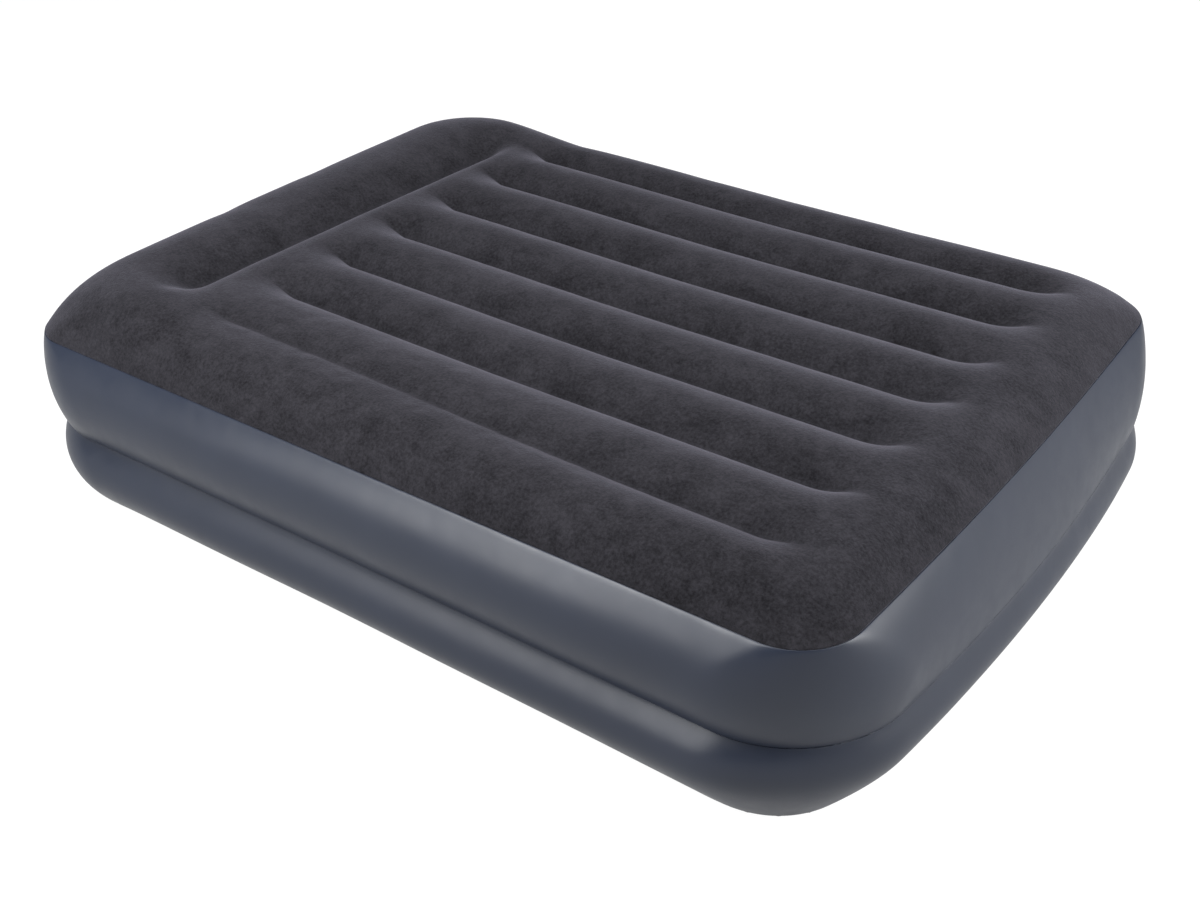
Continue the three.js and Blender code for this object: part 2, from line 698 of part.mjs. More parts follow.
// An insulated lead along a smooth route of points in the pump's frame.
function lead(points) {
  const route = new THREE.CatmullRomCurve3(points.map((p) => new THREE.Vector3(...p)));
  const section = new THREE.Shape().absarc(0, 0, 1.5, 0, 2 * Math.PI, false);
  return new THREE.ExtrudeGeometry(section, {
    steps: 16,
    extrudePath: route,
    bevelEnabled: false,
    curveSegments: 4,
  });
}

// ---------------------------------------------------------------- the assembly
const wallHole = solid(
  new THREE.ExtrudeGeometry(rounded(0, 0, RIM[0] + 2 * GAP, RIM[1] + 2 * GAP, RIM[2] + GAP), {
    depth: 200,
    bevelEnabled: false,
    curveSegments: 5,
  }).applyMatrix4(upright().setPosition(PUMP_FRONT_X - 60, PUMP_Y, PUMP_Z)),
);

add(envelope, "top_sheet", topSheet(), flock);
add(envelope, "upper_wall", cut(tierWall(seamRim, UPPER_BULGE, waistTop), wallHole), wallVinyl);
const vents = [-1, 1].flatMap((sx) =>
  [-1, 1].map((sy) => ({ x: sx * VENT.x, y: sy * VENT.y, r: VENT.r })),
);
add(envelope, "waist_sheet", flatSheet(WAIST, WAIST.z - half, vents), innerVinyl);
add(envelope, "lower_wall", tierWall(waistUnder, LOWER_BULGE, BASE), wallVinyl);
add(envelope, "bottom_sheet", flatSheet(BASE, 0), wallVinyl);

const beamTop = LANE_CREST_Z - LANE_DEPTH - 3 * GAP;
const beamFoot = WAIST.z + half + GAP;
const beamStart = LANE_START_X + LANE_TAPER;
const beamLength = LANE_END_X - LANE_TAPER - beamStart;
LANE_LINES.forEach((line, i) => {
  const made = beam(beamLength, beamFoot, beamTop);
  add(envelope, `upper_beam_${i + 1}`, made, innerVinyl).position.set(beamStart, line * LANE_PITCH, 0);
});

const pillowBeamHalf = PILLOW_LINE_HALF - PILLOW_LINE_TAPER - 10;
const pillowBeam = add(
  envelope,
  "pillow_beam",
  beam(2 * pillowBeamHalf, beamFoot, beamTop),
  innerVinyl,
);
pillowBeam.position.set(PILLOW_LINE_X, -pillowBeamHalf, 0);
pillowBeam.rotation.z = Math.PI / 2;

LOWER_BEAM_LINES.forEach((line, i) => {
  const made = beam(LOWER_BEAM_LENGTH, VINYL + GAP, WAIST.z - half - GAP);
  const placed = add(envelope, `lower_beam_${i + 1}`, made, innerVinyl);
  placed.position.set(-LOWER_BEAM_LENGTH / 2, line * LOWER_BEAM_PITCH, 0);
});

const pump = new THREE.Group();
pump.position.set(PUMP_FRONT_X, PUMP_Y, PUMP_Z);
pump.rotation.set(Math.PI / 2, Math.PI / 2, 0);
envelope.add(pump);

add(pump, "pump_collar", collar(), darkPlastic);
add(pump, "collar_gasket", gasket(), softRubber);
add(pump, "pump_housing", housing(), darkPlastic);
add(pump, "pump_faceplate", faceplate(), darkPlastic);
screwPlaces().forEach(([x, y], i) =>
  add(pump, `faceplate_screw_${i + 1}`, screw(x, y, 3.6, 1.7, 13, 15.2, 34), steel),
);
add(pump, "cord_tray", cordTray(), darkPlastic);
add(pump, "cord_gland", cordGland(), softRubber);
add(pump, "cord_door", cordDoor(), greyPlastic);
add(pump, "door_hinge_pin", crossRod(HINGE.y, HINGE.z, 1, BAY.x - 32.6, BAY.x + 32.6), steel);
add(pump, "switch_body", switchBody(), darkPlastic);
add(pump, "power_rocker", powerRocker(), greyPlastic);
add(pump, "rocker_pin", rockerPin(), steel);
add(pump, "control_dial", controlDial(), greyPlastic);
add(pump, "dial_shaft", dialShaft(), steel);
add(pump, "diverter_drum", diverterDrum(), greyPlastic);
add(pump, "diverter_sleeve", diverterSleeve(), darkPlastic);
add(pump, "volute_front", voluteFront(), darkPlastic);
add(pump, "volute_rear", voluteRear(), darkPlastic);
add(pump, "impeller", impeller(), greyPlastic);
add(pump, "motor_rotor", rotor(), copper);
add(pump, "motor_can", motorCan(), steel);
add(pump, "front_bush", bush(69.4, 75), bronze);
add(pump, "rear_bush", bush(114.5, 120), bronze);
add(pump, "motor_magnet_1", magnet(1), magnetGrey);
add(pump, "motor_magnet_2", magnet(-1), magnetGrey);
add(pump, "motor_end_cap", motorEndCap(), darkPlastic);
MOTOR_SCREWS.forEach(([x, y], i) =>
  add(pump, `motor_screw_${i + 1}`, screw(x, y, 2.3, 1.25, 64.6, 66, 74), steel),
);
const supplyRoute = [
  [BAY.x, -30, 102.4], [BAY.x + 3, -31, 108], [-18, -37, 111], [8, -42, 104],
  [22, -43, 85], [30, -42.5, 62], [31, -42, 38.4],
];
const motorRoute = [
  [45, -42, 38.4], [47, -42, 60], [50, -41, 88], [52, -34, 112], [51, -18, 124],
  [48, -4, 124], [46, -1, 121],
];
add(pump, "supply_lead", lead(supplyRoute), softRubber);
add(pump, "motor_lead", lead(motorRoute), softRubber);

const mattress = new THREE.Group();
mattress.add(envelope);
export default mattress;
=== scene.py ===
import json
import math

import bmesh
import bpy
import numpy as np
from mathutils import Matrix, Vector


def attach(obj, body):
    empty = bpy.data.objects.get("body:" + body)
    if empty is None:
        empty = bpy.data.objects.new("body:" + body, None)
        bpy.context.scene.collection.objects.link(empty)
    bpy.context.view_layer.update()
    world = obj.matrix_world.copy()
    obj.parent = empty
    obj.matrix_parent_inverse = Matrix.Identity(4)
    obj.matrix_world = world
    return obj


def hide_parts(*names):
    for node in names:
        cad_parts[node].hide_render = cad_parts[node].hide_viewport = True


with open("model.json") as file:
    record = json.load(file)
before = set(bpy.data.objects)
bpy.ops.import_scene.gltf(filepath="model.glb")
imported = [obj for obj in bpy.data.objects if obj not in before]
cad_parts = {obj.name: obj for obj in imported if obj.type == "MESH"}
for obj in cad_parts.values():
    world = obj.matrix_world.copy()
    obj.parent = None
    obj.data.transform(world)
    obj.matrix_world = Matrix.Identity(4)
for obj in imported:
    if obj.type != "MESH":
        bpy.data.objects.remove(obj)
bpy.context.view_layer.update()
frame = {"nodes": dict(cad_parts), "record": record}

MM = 0.001
CENTRE_SHIFT = -21 * MM  # the foot end bows out further than the head end
SKIN = 0.8 * MM  # thickness the vinyl is drawn with
SEED = 7

# ---------------------------------------------------------------- envelope shape
# Plan outlines from the top seam down, in millimetres: half length, half width, corner radius,
# bow of the head end, foot end and sides, height, and rise of the height at the corners.
LEVELS = {
    "seam": (960, 705, 112, 20, 20, 0, 384, 0),
    "upper_bulge": (1010, 754, 255, 5, 5, 0, 283, 0),
    "waist": (988, 722, 210, 14, 45, -4, 181, 0),
    "lower_bulge": (1000, 760, 255, 12, 52, -7, 104, 29),
    "base": (947, 697, 170, 0, 0, -20, 0.8, 0),
}
# Each wall's arch: the power of its sine, where less is fuller, and how far its bulge is let down.
UPPER_ARCH, LOWER_ARCH = (0.75, 1.0), (0.95, 1.28)
SEAM_A, SEAM_B, SEAM_R, SEAM_HEAD, SEAM_FOOT = (v * MM for v in LEVELS["seam"][:5])
SEAM_Z = LEVELS["seam"][6] * MM
WAIST_Z = LEVELS["waist"][6] * MM

LANE_PITCH = 0.176
LANE_START_X, LANE_END_X = -0.600, 0.856
LANE_TAPER = 0.125  # length over which a lane's line fades in or out
LANE_LINES = range(-3, 4)
PILLOW_X = -0.665  # the line across the bed behind which the pillow rises
PILLOW_HALF = 0.565
PILLOW_BOW = 0.022  # how far the pillow's line slants over its half length


def smoothstep(x, low, high):
    t = np.clip((x - low) / (high - low), 0, 1)
    return t * t * (3 - 2 * t)


def wavy(x, y, length, seed):
    """Smooth noise of about the given wavelength, from -1 to 1, the same on every run."""
    draw = np.random.default_rng(seed)
    total = np.zeros(np.broadcast(x, y).shape)
    for _ in range(14):
        turn = draw.uniform(0, math.tau)
        k = math.tau / length * draw.uniform(0.6, 1.6)
        total += np.sin(k * (x * math.cos(turn) + y * math.sin(turn)) + draw.uniform(0, math.tau))
    return total / 5


# ---------------------------------------------------------------- mesh helpers
def mesh_object(name, points, faces, smooth=True):
    mesh = bpy.data.meshes.new(name)
    mesh.from_pydata([tuple(p) for p in points], [], faces)
    mesh.validate()
    if smooth:
        mesh.shade_smooth()
    obj = bpy.data.objects.new(name, mesh)
    bpy.context.scene.collection.objects.link(obj)
    return obj


def grid_faces(rows, columns, wrap):
    spans = columns if wrap else columns - 1
    return [
        (i * columns + j, i * columns + (j + 1) % columns,
         (i + 1) * columns + (j + 1) % columns, (i + 1) * columns + j)
        for i in range(rows - 1) for j in range(spans)
    ]


def apply_modifiers(obj):
    graph = bpy.context.evaluated_depsgraph_get()
    graph.update()
    baked = bpy.data.meshes.new_from_object(obj.evaluated_get(graph))
    obj.modifiers.clear()
    obj.data = baked
    return obj


# ---------------------------------------------------------------- walls
CORNER_STEPS, LONG_STEPS, SHORT_STEPS = 30, 130, 90
WALL_ROWS = 40


def outline(level):
    """Points of a level's outline in order, with heights and outward plan normals."""
    a, b, r, head, foot, side, z, lift = (v * MM for v in LEVELS[level])
    runs = []
    signs = [(1, 1, LONG_STEPS), (-1, 1, SHORT_STEPS), (-1, -1, LONG_STEPS), (1, -1, SHORT_STEPS)]
    for k, (sx, sy, steps) in enumerate(signs):
        angles = math.pi / 2 * (k + np.arange(CORNER_STEPS + 1) / CORNER_STEPS)
        runs.append(np.stack([sx * (a - r) + r * np.cos(angles),
                              sy * (b - r) + r * np.sin(angles), angles], 1))
        nx, ny, _ = signs[(k + 1) % 4]
        end = runs[-1][-1]
        turn = math.pi / 2 * (k + 1)
        start = np.array([nx * (a - r) + r * math.cos(turn), ny * (b - r) + r * math.sin(turn), turn])
        t = np.arange(1, steps)[:, None] / steps
        runs.append(end + (start - end) * t)
    x, y, angle = np.concatenate(runs).T
    u, v = np.clip(x / a, -1, 1), np.clip(y / b, -1, 1)
    bow = np.where(x > 0, foot, head)
    bx = x + bow * np.sign(x) * np.cos(math.pi / 2 * v) * u * u
    by = y + side * np.sign(y) * np.cos(math.pi / 2 * u) * v * v
    return bx, by, z + lift * np.abs(u * v) ** 3, np.cos(angle), np.sin(angle)


def wall_surface(top, bulge, bottom, fullness, drop):
    """One tier's wall as a grid of points, arching from its upper seam to its lower seam."""
    (tx, ty, tz, nx, ny), (mx, my, mz, _, _), (qx, qy, qz, _, _) = map(outline, (top, bulge, bottom))
    steps = np.linspace(0, 1, WALL_ROWS + 1)
    t = ((1 - np.cos(math.pi * steps)) / 2)[:, None]  # closer rows near the seams
    arch = np.sin(math.pi * t**drop) ** fullness
    x = tx * (1 - t) + qx * t + (mx - (tx + qx) / 2) * arch
    y = ty * (1 - t) + qy * t + (my - (ty + qy) / 2) * arch
    z = tz * (1 - t) * (1 - 2 * t) + 4 * mz * t * (1 - t) + qz * t * (2 * t - 1)
    return x, y, z, t, nx[None, :], ny[None, :]


def tier(name, levels, arch, z_low, z_high, seed):
    x, y, z, t, nx, ny = wall_surface(*levels, *arch)
    run = np.arctan2(y, x) * 1.2
    corner = (np.abs(nx * ny) * 2) ** 1.5
    near_top, near_bottom = np.exp(-t / 0.10), np.exp(-(1 - t) / 0.10)
    pucker = wavy(run, 0 * run, 0.045, seed) * (0.5 + 1.4 * corner) * MM
    held = np.sin(math.pi * t) ** 0.5
    out = (near_top + near_bottom) * pucker * held + wavy(x, y + z, 0.6, seed + 1) * 1.6 * MM * held
    x, y = x + nx * out, y + ny * out
    z = np.clip(z, z_low, z_high)
    rows, columns = x.shape
    outer = np.stack([x, y, z], -1).reshape(-1, 3)
    inner = np.stack([x - nx * SKIN, y - ny * SKIN, z], -1).reshape(-1, 3)
    count = rows * columns
    faces = [tuple(reversed(f)) for f in grid_faces(rows, columns, True)]
    faces += [tuple(count + v for v in reversed(f)) for f in faces]
    for j in range(columns):
        k = (j + 1) % columns
        last = (rows - 1) * columns
        faces.append((j, k, count + k, count + j))
        faces.append((last + k, last + j, count + last + j, count + last + k))
    points = np.concatenate([outer, inner]) + [CENTRE_SHIFT, 0, 0]
    return mesh_object(name, points, faces)


# ---------------------------------------------------------------- the top sheet
CORNER_GROWTH = 0.6  # how fast the contours' corners grow rounder inwards from the seam
CROWN_REACH, CROWN_POWER = 0.180, 3.1  # how far in the sheet is still rising, and how steeply
LANE_CREST, PILLOW_CREST = 0.475, 0.497  # heights
LANE_CREST_FALL = 0.016  # the crests and the lines' depth fall off over this much towards the foot
LANE_DEPTH, LANE_DEPTH_FALL = 0.043, 0.0075
PILLOW_DEPTH = 0.040
FALL_FROM_X, FALL_TO_X = -0.55, 0.25
EDGE_RISE = 0.10  # width over which the sheet rises again outside the outermost lines
LANE_CHORD = 0.74  # half a lane's width over its crest's radius


def inside_seam(x, y):
    """Depth inside the top seam, on rounded-rectangle contours whose corners grow rounder inwards."""
    dx, dy = np.abs(x) - (SEAM_A - SEAM_R), np.abs(y) - (SEAM_B - SEAM_R)
    square = np.minimum(SEAM_A - np.abs(x), SEAM_B - np.abs(y))
    k = CORNER_GROWTH
    p = 2 * (1 + k) ** 2 - k * k
    q = 2 * (1 + k) * (dx + dy) - 2 * k * SEAM_R
    r = dx**2 + dy**2 - SEAM_R**2
    corner = (-q + np.sqrt(np.maximum(q * q - 4 * p * r, 0))) / (2 * p)
    in_corner = (dx + (1 + k) * corner > 0) & (dy + (1 + k) * corner > 0)
    return np.maximum(np.where(in_corner, np.minimum(corner, square), square), 0)


def lane_arc(distance):
    """Height lost under a lane's round crest, from 1 on a held line to 0 mid-lane."""
    s = np.clip(np.abs(distance) / (LANE_PITCH / 2), 0, 1)
    low = math.sqrt(1 - LANE_CHORD**2)
    return 1 - (np.sqrt(1 - (LANE_CHORD * (1 - s)) ** 2) - low) / (1 - low)


def pillow_line_x(y):
    return PILLOW_X + PILLOW_BOW * (y / PILLOW_HALF)


def top_height(x, y):
    """Height of the sheet before it is inflated."""
    crown = 1 - (1 - np.clip(inside_seam(x, y) / CROWN_REACH, 0, 1)) ** CROWN_POWER
    fall = smoothstep(x, FALL_FROM_X, FALL_TO_X)
    lane_crest = LANE_CREST - LANE_CREST_FALL * fall
    # Past the ends of its line the pillow slopes down to the lanes more gently.
    beside = smoothstep(np.abs(y), PILLOW_HALF - 0.12, PILLOW_HALF + 0.03)
    pillow = 1 - smoothstep(x, PILLOW_X - 0.10 + 0.04 * beside, PILLOW_X + 0.02 + 0.17 * beside)
    crest = lane_crest + (PILLOW_CREST - lane_crest) * pillow
    z = SEAM_Z + (crest - SEAM_Z) * crown
    along = np.minimum(smoothstep(x, LANE_START_X, LANE_START_X + LANE_TAPER),
                       1 - smoothstep(x, LANE_END_X - LANE_TAPER, LANE_END_X))
    for n in LANE_LINES:
        depth = LANE_DEPTH - LANE_DEPTH_FALL * fall
        if n == LANE_LINES[0]:  # the nearest line is shallow, most of all towards the head
            depth = depth * (0.34 + 0.5 * smoothstep(x, -0.15, 0.6))
        reach = lane_arc(y - n * LANE_PITCH)
        if n in (LANE_LINES[0], LANE_LINES[-1]):  # beyond it the sheet rises to a broader edge lane
            past = y * np.sign(n) - 3 * LANE_PITCH
            reach = np.where(past > 0, (1 - np.clip(past / EDGE_RISE, 0, 1)) ** 2.4, reach)
        z = z - depth * along * reach
    from_line = x - pillow_line_x(y)
    reach = np.where(from_line < 0, np.clip(1 + from_line / 0.17, 0, 1) ** 2.1,
                     np.clip(1 - from_line / 0.075, 0, 1) ** 2.2)
    hold = 1 - smoothstep(np.abs(y), PILLOW_HALF - 0.13, PILLOW_HALF)
    z = z - PILLOW_DEPTH * hold * reach
    # A slight unevenness along the near edge lane.
    near = np.exp(-(((y + 0.50) / 0.13) ** 2)) * smoothstep(x, -0.62, -0.4)
    return z + near * wavy(x, y * 2.2, 0.07, SEED + 5) * 0.9 * MM * (1 - smoothstep(x, 0.3, 0.8))


ROW_STEP, COLUMN_STEP = LANE_PITCH / 15, 0.012  # so a row lies on each held line
EDGE_BAND = 0.160  # columns this close to the ends squeeze in where the corners round off


def top_grid():
    """Plan positions of the sheet's points, in rows along the bed."""
    arc = np.linspace(0, math.pi / 2, 13)
    inner_rows = np.arange(0, round((SEAM_B - SEAM_R) / ROW_STEP)) * ROW_STEP
    half = np.concatenate([inner_rows, SEAM_B - SEAM_R + SEAM_R * np.sin(arc)])
    ys = np.concatenate([-half[:0:-1], half])
    fixed = SEAM_A - EDGE_BAND
    middle = np.linspace(-fixed, fixed, round(2 * fixed / COLUMN_STEP) + 1)
    band = np.linspace(0, 1, 16)[1:] ** 0.9 * EDGE_BAND
    xs = np.concatenate([-(fixed + band[::-1]), middle, fixed + band])
    past = np.clip(np.abs(ys) - (SEAM_B - SEAM_R), 0, SEAM_R)
    half_length = SEAM_A - SEAM_R + np.sqrt(SEAM_R**2 - past**2)
    squeeze = ((half_length - fixed) / EDGE_BAND)[:, None]
    x = xs[None, :] + 0 * ys[:, None]
    x = np.where(np.abs(x) > fixed, np.sign(x) * (fixed + (np.abs(x) - fixed) * squeeze), x)
    return x, ys[:, None] + 0 * x


def on_lane_line(x, y):
    lane = np.abs(((y + LANE_PITCH / 2) % LANE_PITCH) - LANE_PITCH / 2) < ROW_STEP / 2
    inner = (x > LANE_START_X + 0.05) & (x < LANE_END_X - 0.05) & (np.abs(y) < 3.1 * LANE_PITCH)
    return lane & inner


def pinned_weights(x, y):
    """How firmly each point is held: fully on the seam and along the beams' welds."""
    seam = np.clip(1 - inside_seam(x, y) / 0.012, 0, 1)
    line = np.abs(x - pillow_line_x(y)) < 0.008
    pillow = line & (np.abs(y) < PILLOW_HALF - 0.06)
    return np.maximum(seam, np.where(on_lane_line(x, y) | pillow, 1.0, 0.0))


def evened(move, free, rounds):
    """Average a grid of moves with its neighbours, leaving the held points where they are."""
    for _ in range(rounds):
        for axis in (0, 1):
            before, after = np.roll(move, 1, axis), np.roll(move, -1, axis)
            move = (before + 2 * move + after) / 4 * free
    return move


def crease_lanes(sheet, x, y):
    """Keep the welded lines crisp where the sheet is subdivided."""
    held = on_lane_line(x, y).ravel()
    ends = np.array([edge.vertices for edge in sheet.data.edges])
    layer = sheet.data.attributes.new("crease_edge", "FLOAT", "EDGE")
    layer.data.foreach_set("value", np.where(held[ends].all(axis=1), 0.75, 0.0))


SPARE_CLOTH = 0.003  # how much longer than its drawn shape the sheet is cut
PRESSURE = 3.5
FARTHEST_MOVE = 6 * MM
CLOTH_FRAMES = 20
EVENING_ROUNDS = 6


def puff(obj, weights):
    """Inflate a sheet with Cloth between its held lines, then cap and even out its moves."""
    rest = np.array([v.co for v in obj.data.vertices])
    pins = obj.vertex_groups.new(name="held")
    for i, w in enumerate(weights.ravel()):
        if w > 0:
            pins.add([i], float(w), "REPLACE")
    cloth = obj.modifiers.new("inflate", "CLOTH")
    settings = cloth.settings
    settings.quality = 5
    settings.mass = 0.25
    settings.tension_stiffness = settings.compression_stiffness = 25
    settings.shear_stiffness = 12
    settings.bending_stiffness = 3.0
    settings.shrink_min = -SPARE_CLOTH
    settings.use_pressure = True
    settings.uniform_pressure_force = PRESSURE
    settings.vertex_group_mass = "held"
    settings.effector_weights.gravity = 0
    cloth.collision_settings.use_collision = False
    for number in range(1, CLOTH_FRAMES + 1):
        bpy.context.scene.frame_set(number)
    apply_modifiers(obj)
    bpy.context.scene.frame_set(1)
    now = np.array([v.co for v in obj.data.vertices])
    move = now - rest
    size = np.linalg.norm(move, axis=1, keepdims=True)
    move *= np.minimum(1, FARTHEST_MOVE / np.maximum(size, 1e-9))
    move = evened(move.reshape(*weights.shape, 3), 1 - weights[..., None], EVENING_ROUNDS)
    obj.data.vertices.foreach_set("co", (rest + move.reshape(-1, 3)).ravel())
    obj.vertex_groups.clear()
    return float(size.max())


def top_sheet():
    x, y = top_grid()
    z = top_height(x, y)
    u, v = x / SEAM_A, np.clip(y / SEAM_B, -1, 1)
    bow = np.where(x > 0, SEAM_FOOT, SEAM_HEAD)
    px = x + bow * np.sign(x) * np.cos(math.pi / 2 * v) * u * u + CENTRE_SHIFT
    points = np.stack([px, y, z + 0.5 * MM], -1).reshape(-1, 3)
    rows, columns = x.shape
    sheet = mesh_object("flocked_top", points, grid_faces(rows, columns, False))
    moved = puff(sheet, pinned_weights(x, y))
    print("top sheet's furthest move before the cap, mm:", round(moved / MM, 1))
    crease_lanes(sheet, x, y)
    rim = sheet.modifiers.new("rim", "SOLIDIFY")
    rim.thickness = 1.2 * MM
    rim.offset = -1
    fine = sheet.modifiers.new("fine", "SUBSURF")
    fine.levels = fine.render_levels = 1
    apply_modifiers(sheet)
    sheet.data.shade_smooth()
    return sheet


# ---------------------------------------------------------------- materials
def material(name, base, roughness, **inputs):
    made = bpy.data.materials.new(name)
    made.use_nodes = True
    shader = made.node_tree.nodes["Principled BSDF"]
    shader.inputs["Base Color"].default_value = (*base, 1)
    shader.inputs["Roughness"].default_value = roughness
    for key, value in inputs.items():
        shader.inputs[key.replace("_", " ")].default_value = value
    return made, shader


class Graph:
    """Small helper for a material's nodes, in the piece's own coordinates in metres."""

    def __init__(self, made, shader):
        self.tree, self.shader = made.node_tree, shader
        self.place = self.tree.nodes.new("ShaderNodeTexCoord").outputs["Object"]

    def noise(self, size, detail=3, roughness=0.55, stretch=None, distortion=0):
        node = self.tree.nodes.new("ShaderNodeTexNoise")
        node.inputs["Scale"].default_value = 1 / size
        node.inputs["Detail"].default_value = detail
        node.inputs["Roughness"].default_value = roughness
        node.inputs["Distortion"].default_value = distortion
        place = self.place
        if stretch:
            scaled = self.tree.nodes.new("ShaderNodeVectorMath")
            scaled.operation = "MULTIPLY"
            scaled.inputs[1].default_value = stretch
            self.tree.links.new(place, scaled.inputs[0])
            place = scaled.outputs[0]
        self.tree.links.new(place, node.inputs["Vector"])
        return node.outputs["Fac"]

    def spread(self, value, low, high, out_low=0.0, out_high=1.0):
        node = self.tree.nodes.new("ShaderNodeMapRange")
        ends = {"From Min": low, "From Max": high, "To Min": out_low, "To Max": out_high}
        for key, number in ends.items():
            node.inputs[key].default_value = number
        self.tree.links.new(value, node.inputs["Value"])
        return node.outputs["Result"]

    def math(self, operation, a, b):
        node = self.tree.nodes.new("ShaderNodeMath")
        node.operation = operation
        for socket, value in zip(node.inputs, (a, b)):
            if isinstance(value, (int, float)):
                socket.default_value = value
            else:
                self.tree.links.new(value, socket)
        return node.outputs[0]

    def mix(self, factor, low, high):
        node = self.tree.nodes.new("ShaderNodeMix")
        node.data_type = "RGBA"
        self.tree.links.new(factor, node.inputs["Factor"])
        for socket, colour in ((node.inputs["A"], low), (node.inputs["B"], high)):
            if isinstance(colour, tuple):
                socket.default_value = (*colour, 1)
            else:
                self.tree.links.new(colour, socket)
        return node.outputs["Result"]

    def bump(self, height, distance, strength=1.0):
        node = self.tree.nodes.new("ShaderNodeBump")
        node.inputs["Distance"].default_value = distance
        node.inputs["Strength"].default_value = strength
        self.tree.links.new(height, node.inputs["Height"])
        before = self.shader.inputs["Normal"]
        if before.is_linked:
            self.tree.links.new(before.links[0].from_socket, node.inputs["Normal"])
        self.tree.links.new(node.outputs["Normal"], before)

    def into(self, value, socket):
        self.tree.links.new(value, self.shader.inputs[socket])


def flock_material():
    made, shader = material("flock", (0.018, 0.0175, 0.021), 0.95, Specular_IOR_Level=0.12,
                            Sheen_Weight=0.22, Sheen_Roughness=0.44)
    shader.inputs["Sheen Tint"].default_value = (0.84, 0.82, 1.0, 1)
    g = Graph(made, shader)
    # Cloud and patch mottle in the base colour: partly the flock's own brushed tone, partly painted sheen
    # standing in for the sheen changing with the nap's direction.
    cloud = g.spread(g.noise(0.12, 8, 0.72, stretch=(0.85, 1.2, 1), distortion=0.7), 0.40, 0.62)
    patch = g.spread(g.noise(0.034, 6, 0.70, distortion=0.5), 0.38, 0.64)
    grain = g.noise(0.0060, 3, 0.75)
    nap_sheen_tone = g.math("ADD", g.math("MULTIPLY", cloud, 0.30), g.math("MULTIPLY", patch, 0.24))
    tone = g.math("ADD", nap_sheen_tone, g.math("MULTIPLY", g.spread(grain, 0.36, 0.66), 0.46))
    g.into(g.mix(tone, (0.0035, 0.0034, 0.0042), (0.034, 0.0328, 0.0390)), "Base Color")
    g.bump(grain, 1.2 * MM, 0.8)
    g.bump(g.noise(0.020, 5, 0.65), 1.6 * MM, 0.4)
    return made


def vinyl_material(name, base, lift):
    made, shader = material(name, base, 0.33, Specular_IOR_Level=0.52)
    g = Graph(made, shader)
    tone = g.spread(g.noise(0.16, 4, 0.55), 0.3, 0.7)
    lighter = tuple(c * lift for c in base)
    g.into(g.mix(tone, base, lighter), "Base Color")
    g.into(g.spread(g.noise(0.05, 4, 0.6), 0.3, 0.7, 0.31, 0.39), "Roughness")
    g.bump(g.noise(0.0011, 2, 0.6), 0.06 * MM, 0.6)
    g.bump(g.noise(0.10, 2, 0.5), 1.2 * MM, 0.25)
    return made


def plastic_material(name, base, roughness, grain=0.0008, depth=0.05):
    made, shader = material(name, base, roughness)
    g = Graph(made, shader)
    tone = g.spread(g.noise(0.03, 4, 0.6), 0.3, 0.7)
    g.into(g.mix(tone, base, tuple(c * 1.18 for c in base)), "Base Color")
    g.into(g.spread(g.noise(0.012, 4, 0.6), 0.3, 0.7, roughness - 0.05, roughness + 0.07), "Roughness")
    g.bump(g.noise(grain, 2, 0.6), depth * MM, 0.7)
    return made


def metal_material(name, base, roughness, stretch=(1, 12, 12)):
    made, shader = material(name, base, roughness, Metallic=1.0)
    g = Graph(made, shader)
    brushed = g.noise(0.004, 3, 0.6, stretch=stretch)
    g.into(g.mix(g.spread(brushed, 0.3, 0.7), tuple(c * 0.85 for c in base), base), "Base Color")
    g.into(g.spread(brushed, 0.3, 0.7, roughness - 0.06, roughness + 0.08), "Roughness")
    g.bump(brushed, 0.02 * MM, 0.5)
    return made


FLOCK = flock_material()
WALL = vinyl_material("wall_vinyl", (0.0175, 0.0232, 0.0400), 1.12)
INNER = vinyl_material("inner_vinyl", (0.17, 0.19, 0.22), 1.1)
DARK = plastic_material("dark_plastic", (0.012, 0.0125, 0.014), 0.42)
GREY = plastic_material("grey_plastic", (0.12, 0.13, 0.15), 0.38)
RUBBER = plastic_material("soft_rubber", (0.009, 0.009, 0.0095), 0.72, 0.0014, 0.08)
STEEL = metal_material("zinc_steel", (0.60, 0.61, 0.62), 0.30)
BRONZE = metal_material("bronze", (0.48, 0.32, 0.15), 0.38)
COPPER = metal_material("varnished_copper", (0.42, 0.17, 0.08), 0.42, (2, 60, 60))
MAGNET = plastic_material("ferrite", (0.035, 0.035, 0.038), 0.6, 0.0006, 0.08)
MARK = plastic_material("pale_print", (0.52, 0.54, 0.57), 0.5)
DARK_KEY = plastic_material("rocker_plastic", (0.02, 0.021, 0.023), 0.35)
BY_SLOT = {
    "flock": FLOCK, "wall_vinyl": WALL, "inner_vinyl": INNER, "dark_plastic": DARK,
    "grey_plastic": GREY, "rubber": RUBBER, "steel": STEEL, "bronze": BRONZE,
    "copper": COPPER, "magnet": MAGNET,
}


def finish_piece(obj, body, slot, replaces=()):
    obj.data.materials.clear()
    obj.data.materials.append(BY_SLOT[slot])
    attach(obj, body)
    if replaces:
        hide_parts(*replaces)
    return obj


for part in frame["record"]["subparts"]:
    node = frame["nodes"][part["node"]]
    for held in node.material_slots:
        held.material = BY_SLOT[part["material_slot"]]

# ---------------------------------------------------------------- envelope pieces
top = finish_piece(top_sheet(), "mattress", "flock", ["top_sheet"])

PUMP_X, PUMP_Y, PUMP_Z = -1.037, 0.350, 0.275  # the pump's own origin, at its front plane
HOLE = (0.2046, 0.1446, 0.0303)  # the opening its collar sits in


def rounded(w, h, r, x=0.0, y=0.0, steps=10):
    points = []
    for k, (sx, sy) in enumerate([(1, 1), (-1, 1), (-1, -1), (1, -1)]):
        for i in range(steps + 1):
            angle = math.pi / 2 * (k + i / steps)
            points.append((x + sx * (w / 2 - r) + r * math.cos(angle),
                           y + sy * (h / 2 - r) + r * math.sin(angle)))
    return points


